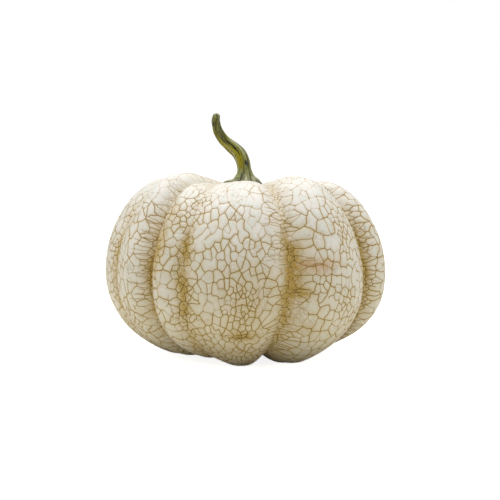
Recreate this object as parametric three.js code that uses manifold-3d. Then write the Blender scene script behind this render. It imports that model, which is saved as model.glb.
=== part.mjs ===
// Ornamental pumpkin: a squat ribbed fruit with a slender curved stem.
// Units are millimetres, +Z is up, and -Y is the side that faces the viewer.
// The fruit is one solid whose lobes bulge between furrows, and the stem is a second
// solid whose spread root lies on the crown.
import * as THREE from "three";
import { mergeVertices } from "three/addons/utils/BufferGeometryUtils.js";
import Module from "manifold-3d";

const wasm = await Module();
wasm.setup();

// The profile over the crest of a lobe, as [radius, height] from the crown to the blossom end.
const crestProfile = [
  [0, 104.8], [9, 106.8], [20, 109.8], [33, 113], [46, 115], [60, 112.5], [75, 99], [85.8, 78.5],
  [90, 57], [87.2, 36], [76.5, 17.5], [60, 4.6], [44, -1.7], [30, -0.4], [15, 5.6], [0, 8],
];

// The profile along the floor of a furrow, point for point beside the crest's.
const floorProfile = [
  [0, 104.5], [8, 105.4], [16, 106], [27, 106.6], [39, 107.2], [53, 105], [67, 94], [77, 76],
  [81.5, 57], [79, 38.5], [69.5, 22], [55, 11], [41, 6], [28, 5.5], [14, 7.5], [0, 8],
];
const equatorHeight = 57;

// Each furrow's azimuth in degrees (0 faces the viewer, 90 is on the right), how deep it is
// beside the full floor profile, the share of that depth it keeps up on the crown, and how far
// it drifts sideways at the foot. The lobe that follows it stands higher or lower at the crown
// and at the foot, and reaches further out.
const lobes = [
  { azimuth: -43.5, depth: 1.0, keeps: 0.85, drift: 0, crown: -4, foot: 5, reach: 0.5 },
  { azimuth: -25.5, depth: 0.38, keeps: 0.4, drift: 0, crown: -1.2, foot: 0, reach: 0 },
  { azimuth: 19, depth: 1.0, keeps: 0.75, drift: -5, crown: 1.5, foot: 0, reach: 0 },
  { azimuth: 62, depth: 1.0, keeps: 0.35, drift: 6, crown: -4.5, foot: 6, reach: 0.8 },
  { azimuth: 84, depth: 0.55, keeps: 0.35, drift: 4, crown: -7, foot: 5.5, reach: -0.5 },
  { azimuth: 124, depth: 0.95, keeps: 1, drift: 2, crown: -7, foot: 0.5, reach: -1.5 },
  { azimuth: 164, depth: 1.0, keeps: 1, drift: -2, crown: -8, foot: 0, reach: -1 },
  { azimuth: 205, depth: 0.9, keeps: 1, drift: 0, crown: -6, foot: -0.5, reach: -1.5 },
  { azimuth: 252, depth: 1.0, keeps: 1, drift: 3, crown: -3, foot: 1, reach: 0 },
  { azimuth: 291, depth: 0.45, keeps: 0.35, drift: 2, crown: 3.2, foot: 4, reach: 0 },
];
const shoulder = [0.2, 0.45]; // where along the profile a furrow deepens from the crown's share to its full
const lobeRoundness = 0.6; // lower is squarer across, with a tighter furrow
const furrowSoftness = 0.1; // rounds the furrow's floor
const degreesPerStep = 3.5; // round the fruit
const profileSteps = 43; // rings from crown to blossom end
const firstRing = 0.045; // where along the profile the first ring is, under the stem's root
const lastRing = 0.965; // and the last, round the blossom end

// The stem from its root to its tip: where its middle is, its mean radius,
// and how far its ridges stand out as a share of that radius.
const stemStations = [
  { at: [-1.4, 0, 99.5], radius: 12.6, ridge: 0.26 },
  { at: [-1.4, 0, 104.5], radius: 12.6, ridge: 0.26 },
  { at: [-1.4, 0, 108], radius: 11.2, ridge: 0.25 },
  { at: [-1.2, 0, 110.5], radius: 8.4, ridge: 0.22 },
  { at: [-1.0, 0.1, 113], radius: 5.9, ridge: 0.17 },
  { at: [-0.9, 0.3, 117], radius: 4.3, ridge: 0.11 },
  { at: [-1.5, 1.0, 122.8], radius: 3.95, ridge: 0.1 },
  { at: [-3.9, 2.2, 128], radius: 3.85, ridge: 0.1 },
  { at: [-8.7, 2.8, 132.8], radius: 3.55, ridge: 0.1 },
  { at: [-13.6, 2.2, 137.6], radius: 3.1, ridge: 0.1 },
  { at: [-17.2, 0.6, 142.8], radius: 2.85, ridge: 0.09 },
  { at: [-18.9, -1.0, 147.8], radius: 2.65, ridge: 0.07 },
  { at: [-18.9, -1.8, 151], radius: 2.5, ridge: 0.05 },
];
const stemRidges = 5;
const stemTwist = 100; // degrees from root to tip
const firstRidge = -90; // azimuth of the ridge on the left
const stemSides = 40;
const stemSteps = 38;
const tipRound = [[0.55, 0.9], [0.9, 0.62]]; // [share of the tip radius further on, share of it across]
const clearGap = 0.3; // between the stem's root and the crown

const splineOf = (pairs) => new THREE.SplineCurve(pairs.map(([x, y]) => new THREE.Vector2(x, y)));
const crest = splineOf(crestProfile);
const floor = splineOf(floorProfile);
const stemMiddle = new THREE.CatmullRomCurve3(
  stemStations.map((s) => new THREE.Vector3(...s.at)), false, "catmullrom", 0.5,
);
const stemGirth = splineOf(stemStations.map((s) => [s.radius, s.ridge]));

const smooth = (x) => x * x * (3 - 2 * x);
const clamp = (x) => Math.min(Math.max(x, 0), 1);

// A furrow's azimuth at a share t of the profile, where 0 is the crown and 1 the blossom end.
function furrowAt(k, t) {
  const turns = Math.floor(k / lobes.length);
  const lobe = lobes[k - turns * lobes.length];
  return lobe.azimuth + turns * 360 + lobe.drift * smooth(clamp((t - 0.5) / 0.25));
}

// A furrow's depth: full from the shoulder down, and less of it on the crown.
function furrowDepth(k, t) {
  const { depth, keeps } = lobes[k % lobes.length];
  return depth * (keeps + (1 - keeps) * smooth(clamp((t - shoulder[0]) / (shoulder[1] - shoulder[0]))));
}

// How far out the skin stands across a lobe, from 0 on the furrow's floor to 1 on the crest.
function swell(u) {
  const soft = furrowSoftness ** 2;
  const low = soft ** (lobeRoundness / 2);
  const high = (1 + soft) ** (lobeRoundness / 2);
  return ((Math.sin(Math.PI * u) ** 2 + soft) ** (lobeRoundness / 2) - low) / (high - low);
}

// One of a lobe's own numbers, blended from the middle of each lobe to the middle of the next.
function blended(name, k, u) {
  const count = lobes.length;
  const [near, far, w] = u < 0.5 ? [k - 1, k, u + 0.5] : [k, k + 1, u - 0.5];
  const value = (n) => lobes[(n + count) % count][name];
  return value(near) + (value(far) - value(near)) * w;
}

// A point of the skin: lobe k, share u across it, share t from the crown down.
function skin(k, u, t) {
  const azimuth = furrowAt(k, t) + (furrowAt(k + 1, t) - furrowAt(k, t)) * u;
  const [a, b] = [furrowDepth(k, t), furrowDepth(k + 1, t)];
  const out = 1 - (a + (b - a) * smooth(u)) * (1 - swell(u));
  let { x: r, y: z } = floor.getPoint(clamp(t)).lerp(crest.getPoint(clamp(t)), out);
  const above = clamp((z - equatorHeight - 5) / 60) ** 1.5 * clamp(r / 40);
  const below = clamp((equatorHeight - z) / equatorHeight) ** 2 * clamp(r / 30);
  z += blended("crown", k, u) * above + blended("foot", k, u) * below;
  r += blended("reach", k, u) * clamp(r / 90);
  const turn = THREE.MathUtils.degToRad(azimuth);
  return new THREE.Vector3(r * Math.sin(turn), -r * Math.cos(turn), z);
}

// The skin's columns round the fruit, closer together near the furrows.
function columns() {
  const made = [];
  lobes.forEach((lobe, k) => {
    const width = furrowAt(k + 1, 0) - furrowAt(k, 0);
    const steps = Math.max(6, Math.round(width / degreesPerStep));
    for (let i = 0; i < steps; i++) made.push({ k, u: (1 - Math.cos((Math.PI * i) / steps)) / 2 });
  });
  return made;
}

// A closed body from rings of equal count, with a point at each end.
function ringBody(first, rings, last) {
  const count = rings[0].length;
  const points = [first, ...rings.flat(), last];
  const index = [];
  const at = (ring, i) => 1 + ring * count + (i % count);
  for (let i = 0; i < count; i++) {
    index.push(0, at(0, i), at(0, i + 1));
    for (let ring = 0; ring < rings.length - 1; ring++) {
      index.push(at(ring, i), at(ring + 1, i), at(ring + 1, i + 1));
      index.push(at(ring, i), at(ring + 1, i + 1), at(ring, i + 1));
    }
    index.push(points.length - 1, at(rings.length - 1, i + 1), at(rings.length - 1, i));
  }
  const geometry = new THREE.BufferGeometry().setFromPoints(points);
  geometry.setIndex(index);
  return geometry;
}

// The fruit, grown outwards by a margin. It stands flat where its lobes meet the ground.
function fruitGeometry(margin) {
  const round = columns();
  const rings = [];
  for (let j = 0; j < profileSteps; j++) {
    const t = firstRing + ((lastRing - firstRing) * j) / (profileSteps - 1);
    rings.push(
      round.map(({ k, u }) => {
        const point = skin(k, u, t);
        if (margin > 0) {
          const d = 1e-3;
          const across = skin(k, u + d, t).sub(skin(k, u - d, t));
          const down = skin(k, u, t + d).sub(skin(k, u, t - d));
          point.addScaledVector(down.cross(across).normalize(), margin);
        }
        point.z = Math.max(point.z, 0);
        return point;
      }),
    );
  }
  const top = skin(0, 0.5, 0);
  top.z += margin;
  return ringBody(top, rings, skin(0, 0.5, 1));
}

// The stem as a stack of ridged sections along its middle line, with a rounded tip.
function stemGeometry() {
  const rings = [];
  let side = new THREE.Vector3(1, 0, 0);
  const section = (centre, axis, radius, ridge, turn) => {
    side = side.clone().addScaledVector(axis, -side.dot(axis)).normalize();
    const other = axis.clone().cross(side);
    const ring = [];
    for (let i = 0; i < stemSides; i++) {
      const a = (2 * Math.PI * i) / stemSides;
      const wave = Math.cos(stemRidges * (a - turn));
      const r = radius * (1 + ridge * (wave + 0.25 * wave * wave));
      ring.push(
        centre.clone().addScaledVector(side, r * Math.cos(a)).addScaledVector(other, r * Math.sin(a)),
      );
    }
    rings.push(ring);
  };
  const startTurn = THREE.MathUtils.degToRad(firstRidge - 90);
  const twist = THREE.MathUtils.degToRad(stemTwist);
  let axis, centre, girth;
  for (let j = 0; j <= stemSteps; j++) {
    const t = j / stemSteps;
    axis = stemMiddle.getTangent(t);
    centre = stemMiddle.getPoint(t);
    girth = stemGirth.getPoint(t);
    section(centre, axis, girth.x, girth.y, startTurn + twist * t ** 2);
  }
  for (const [on, across] of tipRound) {
    const further = centre.clone().addScaledVector(axis, on * girth.x);
    section(further, axis, girth.x * across, girth.y, startTurn + twist);
  }
  const tip = centre.clone().addScaledVector(axis, 1.05 * girth.x);
  return ringBody(tip, rings.reverse(), stemMiddle.getPoint(0));
}

function solidOf(geometry) {
  const bare = geometry.clone();
  bare.deleteAttribute("normal");
  bare.deleteAttribute("uv");
  const merged = mergeVertices(bare, 1e-4);
  return new wasm.Manifold(
    new wasm.Mesh({
      numProp: 3,
      vertProperties: merged.attributes.position.array,
      triVerts: new Uint32Array(merged.index.array),
    }),
  );
}

function geometryOf(solid) {
  const mesh = solid.getMesh();
  const geometry = new THREE.BufferGeometry();
  geometry.setAttribute("position", new THREE.BufferAttribute(mesh.vertProperties, 3));
  geometry.setIndex(new THREE.BufferAttribute(mesh.triVerts, 1));
  geometry.computeVertexNormals();
  return geometry;
}

const fruitSkin = new THREE.MeshStandardMaterial({ color: 0xe6dfcb, roughness: 0.5, metalness: 0 });
const stemSkin = new THREE.MeshStandardMaterial({ color: 0x6f7031, roughness: 0.55, metalness: 0 });

const fruitShape = fruitGeometry(0);
fruitShape.computeVertexNormals();
const fruit = new THREE.Mesh(fruitShape, fruitSkin);
fruit.name = "fruit";

const stem = new THREE.Mesh(
  geometryOf(solidOf(stemGeometry()).subtract(solidOf(fruitGeometry(clearGap)))),
  stemSkin,
);
stem.name = "stem";

// The origin is on the ground under the middle of the whole object.
const pumpkin = new THREE.Group();
pumpkin.add(fruit, stem);
const middle = new THREE.Box3().setFromObject(pumpkin).getCenter(new THREE.Vector3());
pumpkin.position.set(-middle.x, -middle.y, 0);

export default pumpkin;
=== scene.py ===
import math

import bpy
import numpy as np
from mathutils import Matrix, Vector, kdtree
from mathutils.geometry import delaunay_2d_cdt


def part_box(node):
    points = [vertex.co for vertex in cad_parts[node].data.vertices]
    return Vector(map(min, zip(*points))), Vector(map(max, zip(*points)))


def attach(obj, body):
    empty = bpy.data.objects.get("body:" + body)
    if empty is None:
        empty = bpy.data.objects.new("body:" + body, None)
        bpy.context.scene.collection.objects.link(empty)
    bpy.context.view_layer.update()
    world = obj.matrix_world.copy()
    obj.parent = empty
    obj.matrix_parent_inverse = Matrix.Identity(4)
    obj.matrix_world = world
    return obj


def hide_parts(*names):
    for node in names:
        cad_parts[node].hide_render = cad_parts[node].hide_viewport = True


# A white ornamental pumpkin with a crazed skin and a slender curved stem.
# The form is worked out in millimetres and turned into metres when a mesh is made.

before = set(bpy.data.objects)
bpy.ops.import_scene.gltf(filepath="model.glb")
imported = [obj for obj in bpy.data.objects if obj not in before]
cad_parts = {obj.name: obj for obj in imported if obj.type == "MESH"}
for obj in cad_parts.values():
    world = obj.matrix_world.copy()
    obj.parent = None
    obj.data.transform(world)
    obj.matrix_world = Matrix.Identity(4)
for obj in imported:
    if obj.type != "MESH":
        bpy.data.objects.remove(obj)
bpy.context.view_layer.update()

# The fruit's form.

fruitForm = {
    "crest": [  # over a lobe: radius, height, from the crown to the blossom end
        (0, 104.8), (9, 106.8), (20, 109.8), (33, 113), (46, 115), (60, 112.5), (75, 99), (85.8, 78.5),
        (90, 57), (87.2, 36), (76.5, 17.5), (60, 4.6), (44, -1.7), (30, -0.4), (15, 5.6), (0, 8)],
    "floor": [  # along a furrow
        (0, 104.5), (8, 105.4), (16, 106), (27, 106.6), (39, 107.2), (53, 105), (67, 94), (77, 76),
        (81.5, 57), (79, 38.5), (69.5, 22), (55, 11), (41, 6), (28, 5.5), (14, 7.5), (0, 8)],
    "equator": 57,
    "lobes": [  # furrow's azimuth, depth, drift at the foot; its lobe's crown, foot and reach; then
        # the share of its depth that the furrow keeps on the crown
        (-43.5, 1.0, 0, -4, 5, 0.5, 0.85), (-25.5, 0.38, 0, -1.2, 0, 0, 0.4),
        (19, 1.0, -5, 1.5, 0, 0, 0.75), (62, 1.0, 6, -4.5, 6, 0.8, 0.35),
        (84, 0.55, 4, -7, 5.5, -0.5, 0.35), (124, 0.95, 2, -7, 0.5, -1.5, 1),
        (164, 1.0, -2, -8, 0, -1, 1), (205, 0.9, 0, -6, -0.5, -1.5, 1), (252, 1.0, 3, -3, 1, 0, 1),
        (291, 0.45, 2, 3.2, 4, 0, 0.35)],
    "shoulder": (0.2, 0.45),
    "roundness": 0.6,
    "softness": 0.1,
}

crestRows = np.array(fruitForm["crest"], float)
floorRows = np.array(fruitForm["floor"], float)
lobeRows = np.array(fruitForm["lobes"], float)
lobeCount = len(lobeRows)


def smooth(x):
    x = np.clip(x, 0, 1)
    return x * x * (3 - 2 * x)


def along(rows, t, padded=False):  # Catmull-Rom; padded rows have one more at each end
    spans = len(rows) - (3 if padded else 1)
    x = np.clip(t, 0, 1) * spans
    i = np.minimum(x.astype(int), spans - 1)
    w = (x - i)[..., None]
    near = (i, i + 1, i + 2, i + 3) if padded else (np.maximum(i - 1, 0), i, i + 1, np.minimum(i + 2, spans))
    a, b, c, d = (rows[j] for j in near)
    rise, fall = (c - a) / 2, (d - b) / 2
    return (2 * b - 2 * c + rise + fall) * w**3 + (3 * c - 3 * b - 2 * rise - fall) * w**2 + rise * w + b


def furrowAt(k, t):
    turns = np.floor_divide(k, lobeCount)
    row = lobeRows[k - turns * lobeCount]
    return row[..., 0] + turns * 360 + row[..., 2] * smooth((t - 0.5) / 0.25)


def furrowDepth(k, t):  # full from the shoulder down, and less of it on the crown
    start, full = fruitForm["shoulder"]
    row = lobeRows[k % lobeCount]
    return row[..., 1] * (row[..., 6] + (1 - row[..., 6]) * smooth((t - start) / (full - start)))


def swell(u):  # 0 on a furrow's floor, 1 on a lobe's crest
    soft, power = fruitForm["softness"] ** 2, fruitForm["roundness"] / 2
    return ((np.sin(np.pi * u) ** 2 + soft) ** power - soft**power) / ((1 + soft) ** power - soft**power)


def blended(column, k, u):  # a lobe's own number, passing into its neighbour's
    near = np.where(u < 0.5, k - 1, k)
    w = np.where(u < 0.5, u + 0.5, u - 0.5)
    a, b = lobeRows[near % lobeCount, column], lobeRows[(near + 1) % lobeCount, column]
    return a + (b - a) * w


def skin(w, t):  # w counts lobes round the fruit, t runs from 0 at the crown to 1 underneath
    w, t = np.broadcast_arrays(np.asarray(w, float) % lobeCount, np.asarray(t, float))
    k = np.minimum(np.floor(w).astype(int), lobeCount - 1)
    u = w - k
    azimuth = furrowAt(k, t) + (furrowAt(k + 1, t) - furrowAt(k, t)) * u
    a, b = furrowDepth(k, t), furrowDepth(k + 1, t)
    out = 1 - (a + (b - a) * smooth(u)) * (1 - swell(u))
    crest, floor = along(crestRows, t), along(floorRows, t)
    r, z = np.moveaxis(floor + (crest - floor) * out[..., None], -1, 0)
    level = fruitForm["equator"]
    above = np.clip((z - level - 5) / 60, 0, 1) ** 1.5 * np.clip(r / 40, 0, 1)
    below = np.clip((level - z) / level, 0, 1) ** 2 * np.clip(r / 30, 0, 1)
    z = z + blended(3, k, u) * above + blended(4, k, u) * below
    r = r + blended(5, k, u) * np.clip(r / 90, 0, 1)
    turn = np.radians(azimuth)
    return np.stack([r * np.sin(turn), -r * np.cos(turn), np.maximum(z, 0)], -1)


# A flat chart of the skin.
# The skin is laid out as a disc with the blossom end in the middle and the crown as its rim,
# scaled so that a small circle on the skin stays a circle. Cracks and faces are planned there.

chart = {"topEdge": 0.045, "rows": 900, "columns": 2000, "fineColumns": 6001, "waist": 8 / 15}

tableT = np.linspace(0.02, 0.9995, chart["rows"])
tableW = np.linspace(0, lobeCount, chart["columns"] + 1)
tableSkin = skin(tableW[None, :], tableT[:, None])
roundSteps = np.linalg.norm(np.diff(tableSkin, axis=1), axis=2)
downSteps = np.linalg.norm(np.diff(tableSkin, axis=0), axis=2).mean(1)
girthAt = roundSteps.sum(1) / (2 * math.pi)  # the girth at each row as a radius
stretch = np.concatenate([[0], np.cumsum(downSteps * 2 / (girthAt[1:] + girthAt[:-1]))])
stretch -= np.interp(chart["waist"], tableT, stretch)
waistRow = int(np.argmin(np.abs(tableT - chart["waist"])))
waistLengths = np.concatenate([[0], np.cumsum(roundSteps[waistRow])])
waistGirth = waistLengths[-1]
tableV = waistLengths / waistGirth  # 0 to 1 round the waist by length along the skin
downLengths = np.concatenate([[0], np.cumsum(downSteps)])


def wOf(v):
    return np.interp(v % 1, tableV, tableW)


def toChart(v, t):
    radius = np.exp(-np.interp(t, tableT, stretch))
    return np.stack([radius * np.cos(2 * np.pi * v), radius * np.sin(2 * np.pi * v)], -1)


def fromChart(p):
    radius = np.maximum(np.hypot(p[..., 0], p[..., 1]), 1e-12)
    v = (np.arctan2(p[..., 1], p[..., 0]) / (2 * np.pi)) % 1
    return v, np.interp(-np.log(radius), stretch, tableT)


def chartScale(t):  # chart length for one millimetre of skin
    return np.exp(-np.interp(t, tableT, stretch)) / np.interp(t, tableT, girthAt)


furrowV = np.interp(np.arange(lobeCount), tableW, tableV)


def furrowNear(v):  # millimetres at the waist to the nearest furrow, and how deep that furrow is
    gap = np.abs((np.asarray(v)[..., None] - furrowV + 0.5) % 1 - 0.5) * waistGirth
    which = gap.argmin(-1)
    return gap.min(-1), lobeRows[which, 1]


print(f"form: girth {waistGirth:.0f} mm round the waist, {downLengths[-1]:.0f} mm from crown to blossom end")

# Marks the skin has in places.
# A place is (lobe count round the fruit, share down the profile); sizes in millimetres. Ochre and
# blush are amounts, calm makes the cracks fainter, and cell makes the islands larger or smaller.

marks = [
    {"at": (2.06, 0.515), "across": 9, "up": 22, "ochre": 0.56, "calm": 0.5},  # beside the right furrow
    {"at": (2.09, 0.558), "across": 8, "up": 2.6, "ochre": 1.2},  # a darker streak in it
    {"at": (2.06, 0.462), "across": 6, "up": 4, "ochre": 0.3},
    {"at": (1.57, 0.643), "across": 9, "up": 3, "ochre": 1.05},  # low on the front lobe
    {"at": (1.50, 0.690), "across": 14, "up": 5, "ochre": 0.35},
    {"at": (2.24, 0.634), "across": 6, "up": 5, "ochre": 0.45},
    {"at": (0.42, 0.400), "across": 7, "up": 9, "ochre": 0.45, "calm": -0.4},
    {"at": (0.30, 0.470), "across": 6, "up": 19, "ochre": 0.95},  # beside the left furrow
    {"at": (1.00, 0.530), "across": 4, "up": 20, "ochre": 0.3},
    {"at": (1.55, 0.580), "across": 23, "up": 25, "ochre": 0.24},
    {"at": (3.00, 0.500), "across": 5, "up": 20, "ochre": 0.35},
    {"at": (1.70, 0.545), "across": 12, "up": 14, "ochre": 0.22, "cell": 0.66},  # finely crazed
    {"at": (1.58, 0.605), "across": 8, "up": 7, "ochre": 0.1, "cell": 0.55},
    {"at": (2.23, 0.503), "across": 11, "up": 3.6, "blush": 0.5, "ochre": 0.3},  # pink flush
    {"at": (2.32, 0.512), "across": 7, "up": 4, "blush": 0.3},
    {"at": (1.87, 0.440), "across": 10, "up": 15, "calm": 0.4},  # under the rows of level cracks
    {"at": (9.80, 0.500), "across": 8, "up": 18, "calm": 0.3},
    {"at": (3.65, 0.500), "across": 9, "up": 22, "calm": 0.3},
    {"at": (9.50, 0.340), "across": 16, "up": 12, "calm": 0.15},
    {"at": (1.20, 0.587), "across": 6, "up": 6, "cell": 1.9},  # smooth, pale islands
    {"at": (1.76, 0.615), "across": 5, "up": 4, "cell": 1.8},
    {"at": (1.31, 0.438), "across": 7, "up": 6, "cell": 1.5},
    {"at": (2.35, 0.455), "across": 9, "up": 9, "cell": 1.45},
    {"at": (9.55, 0.440), "across": 8, "up": 8, "cell": 1.5},
    {"at": (5.45, 0.500), "across": 8, "up": 20, "ochre": 0.6},  # the unseen side, in keeping
    {"at": (7.08, 0.560), "across": 9, "up": 16, "ochre": 0.7},
    {"at": (6.40, 0.470), "across": 7, "up": 7, "cell": 1.7},
    {"at": (8.50, 0.580), "across": 7, "up": 7, "cell": 1.6},
    {"at": (4.50, 0.430), "across": 9, "up": 4, "blush": 0.5},
]


def marked(kind, places, ground=0.0):  # how much of one kind of mark there is at each place
    total = np.full(len(places), float(ground))
    for mark in marks:
        if kind in mark:
            middle = skin(*mark["at"])
            gone = places - middle
            reach = np.hypot(np.hypot(gone[:, 0], gone[:, 1]) / mark["across"], gone[:, 2] / mark["up"])
            total += (mark[kind] - ground) * np.exp(-(reach ** (2.4 if ground else 2)))
    return total


# The crack network.

crazing = {
    "seed": 7,
    "top": 0.03,  # where the net begins, as a share down the profile
    "tries": 40000,  # random spots tried for the islands' seeds
    "fieldTries": 9000,
    "cell": 4.9,  # millimetres across a usual island on the open lobe
    "furrowCell": 1.7,  # and beside a furrow
    "furrowReach": 14,  # how far from a furrow the islands stay small
    "flatten": 0.3,  # islands beside a furrow lie along the horizontal
    "flattenAt": 8,  # most so at this distance from it
    "flattenWidth": 7.5,
    "jitter": 0.07,  # how far a meeting of cracks is moved, as a share of an island
    "meet": 1.0,  # crack ends nearer than this run together
    "field": 2.1,  # a field's width in islands
    "mainStrength": 0.8,
    "lesserStrength": 0.54,
    "leastStrength": 0.12,
    "strengthWaves": 0.2,  # wide waves of stronger and fainter cracks
    "strengthSpread": 0.15,  # and the difference from crack to crack
    "stainStrength": 0.2,  # stronger where the skin is stained
    "crownFrom": 92,  # cracks grow fainter above this height
    "crownFade": 20,  # and are faintest this much above it
    "crownPale": 0.5,
    "healed": 0.2,  # share of the lesser cracks that closed again, or never ran through
    "healedMain": 0.03,
    "healedReach": 0.62,  # how far such a crack runs at most
    "step": 1.6,  # distance between points along a crack
    "wander": 0.06,  # sideways wander as a share of a crack's length
    "rowSteps": 42,  # points in a crack row for each lobe that it runs round
    "halfWidth": 0.36,  # from a usual crack to its lips
    "lipSpacing": 0.32,
    "endTurns": (0.62, 1, 1.38),  # lips round a crack's end, in half turns
    "openBend": 205,  # degrees past which a bend or a meeting gets a lip of its own
    "openMeeting": 125,
}
draw = np.random.default_rng(crazing["seed"])


def patchy(seed, size, count=7):  # smooth noise on the skin from a few random waves
    local = np.random.default_rng(seed)
    ways = local.normal(size=(count, 3))
    ways *= (local.uniform(0.6, 1.6, count) / np.linalg.norm(ways, axis=1))[:, None] * (2 * np.pi / size)
    phases = local.uniform(0, 2 * np.pi, count)
    return lambda p: np.sin(p @ ways.T + phases).sum(-1) / math.sqrt(count)


cellNoise = patchy(11, 34)
cellUneven = patchy(14, 11)
strengthNoise = patchy(12, 26)


def cellSize(v, t):
    places = skin(wOf(v), t)
    near, depth = furrowNear(v)
    small = (1 - smooth(near / crazing["furrowReach"])) * (0.35 + 0.65 * depth)
    size = crazing["cell"] + (crazing["furrowCell"] - crazing["cell"]) * small
    size = size * (1 - 0.28 * smooth((t - 0.66) / 0.2)) * (1 - 0.12 * smooth((0.36 - t) / 0.1))
    uneven = 1 + 0.3 * np.clip(cellNoise(places), -1.1, 1.5) + 0.26 * np.clip(cellUneven(places), -1.2, 1.4)
    return size * uneven * marked("cell", places, 1.0)


# Beside a furrow the islands are flattened: a second chart, squeezed round the waist there,
# is used to lay them out.
fineV = np.linspace(0, 1, chart["fineColumns"])
near, depth = furrowNear(fineV)
squeezed = np.exp(-(((near - crazing["flattenAt"]) / crazing["flattenWidth"]) ** 2))
squeeze = 1 - (1 - crazing["flatten"]) * depth * squeezed
squeezedV = np.concatenate([[0], np.cumsum((squeeze[1:] + squeeze[:-1]) / 2)])
squeezedV /= squeezedV[-1]


def toPattern(v, t):
    return toChart(np.interp(v % 1, fineV, squeezedV), t)


def fromPattern(p):
    v, t = fromChart(p)
    return np.interp(v, squeezedV, fineV), t


def spot(p):  # where a point of the pattern is on the skin
    v, t = fromPattern(p)
    return skin(wOf(v), t)


def spreadSeeds(sizeOf, tries, top, toPlan):  # random spots, none closer to another than its size
    area = roundSteps[:-1] * downSteps[:, None]
    area[tableT[:-1] < top] = 0
    picked = draw.choice(area.size, tries, p=(area / area.sum()).ravel())
    i, j = np.divmod(picked, chart["columns"])
    t = tableT[i] + draw.random(tries) * (tableT[1] - tableT[0])
    v = np.interp(tableW[j] + draw.random(tries) * (tableW[1] - tableW[0]), tableW, tableV)
    place, gap = toPlan(v, t), sizeOf(v, t) * chartScale(t)
    kept, count = np.empty((tries, 2)), 0
    for n in range(tries):
        if count == 0 or (((kept[:count] - place[n]) ** 2).sum(1) > gap[n] ** 2).all():
            kept[count] = place[n]
            count += 1
    return kept[:count]


def triangulate(points, edges=()):
    result = delaunay_2d_cdt([Vector(p) for p in points], [tuple(map(int, e)) for e in edges], [], 0, 1e-9)
    return np.array([tuple(p) for p in result[0]]), np.array(result[2]), result[3]


class Near:  # nearest-point search on the skin
    def __init__(self, chartPoints):
        v, t = fromChart(chartPoints)
        self.tree = kdtree.KDTree(len(chartPoints))
        for n, p in enumerate(skin(wOf(v), t)):
            self.tree.insert(p, n)
        self.tree.balance()

    def find(self, chartPoints):
        v, t = fromChart(chartPoints)
        found = [self.tree.find(p) for p in skin(wOf(v), t)]
        return np.array([f[2] for f in found]), np.array([f[1] for f in found])


# Cracks run between the islands: each joins the middles of two neighbouring seed triangles.
seeds = spreadSeeds(cellSize, crazing["tries"], crazing["top"], toPattern)
corners, faces, sources = triangulate(seeds)
a, b, c = (corners[faces[:, n]] for n in range(3))
ab, ac = b - a, c - a
cross = 2 * (ab[:, 0] * ac[:, 1] - ab[:, 1] * ac[:, 0])
squareB, squareC = (ab**2).sum(1), (ac**2).sum(1)
centre = a + np.stack([
    (ac[:, 1] * squareB - ab[:, 1] * squareC) / cross,
    (ab[:, 0] * squareC - ac[:, 0] * squareB) / cross], -1)
rim = math.exp(-np.interp(chart["topEdge"], tableT, stretch))
inside = np.hypot(centre[:, 0], centre[:, 1]) < rim * 0.985
sides = {}
for n, face in enumerate(faces):
    for m in range(3):
        sides.setdefault(frozenset((int(face[m]), int(face[(m + 1) % 3]))), []).append(n)

# Main cracks part large fields, and lesser ones part the islands within a field.
def fieldSize(v, t):
    return cellSize(v, t) * crazing["field"]


seedChart = toChart(*fromPattern(seeds))
fieldSeeds = spreadSeeds(fieldSize, crazing["fieldTries"], crazing["top"], toPattern)
fieldOf = Near(toChart(*fromPattern(fieldSeeds))).find(seedChart)[1]
links, isMain = [], []
for (one, two), both in sides.items():
    if len(both) == 2 and inside[both].all():
        links.append(both)
        isMain.append(fieldOf[one] != fieldOf[two])
links, isMain = np.array(links), np.array(isMain)

# Crack ends that almost meet are drawn together, which makes the odd star.
spots = spot(centre)
group = np.arange(len(centre))
for one, two in links[np.argsort(np.linalg.norm(spots[links[:, 0]] - spots[links[:, 1]], axis=1))]:
    if np.linalg.norm(spots[one] - spots[two]) < crazing["meet"]:
        group[group == group[two]] = group[one]
for name in np.unique(group):
    same = np.flatnonzero(group == name)
    centre[same] = centre[same].mean(0)
merged = {}
for (one, two), main in zip(np.sort(group[links], axis=1).tolist(), isMain):
    if one != two:
        merged[one, two] = merged.get((one, two), False) or main
links, isMain = np.array(list(merged)), np.array(list(merged.values()))
vPattern, tPattern = fromPattern(centre)
islandSize = cellSize(vPattern, tPattern) * chartScale(tPattern)
centre = centre + draw.normal(0, crazing["jitter"], (len(centre), 2)) * islandSize[:, None]
print(f"crazing: {len(seeds)} islands, {len(links)} cracks")

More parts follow.
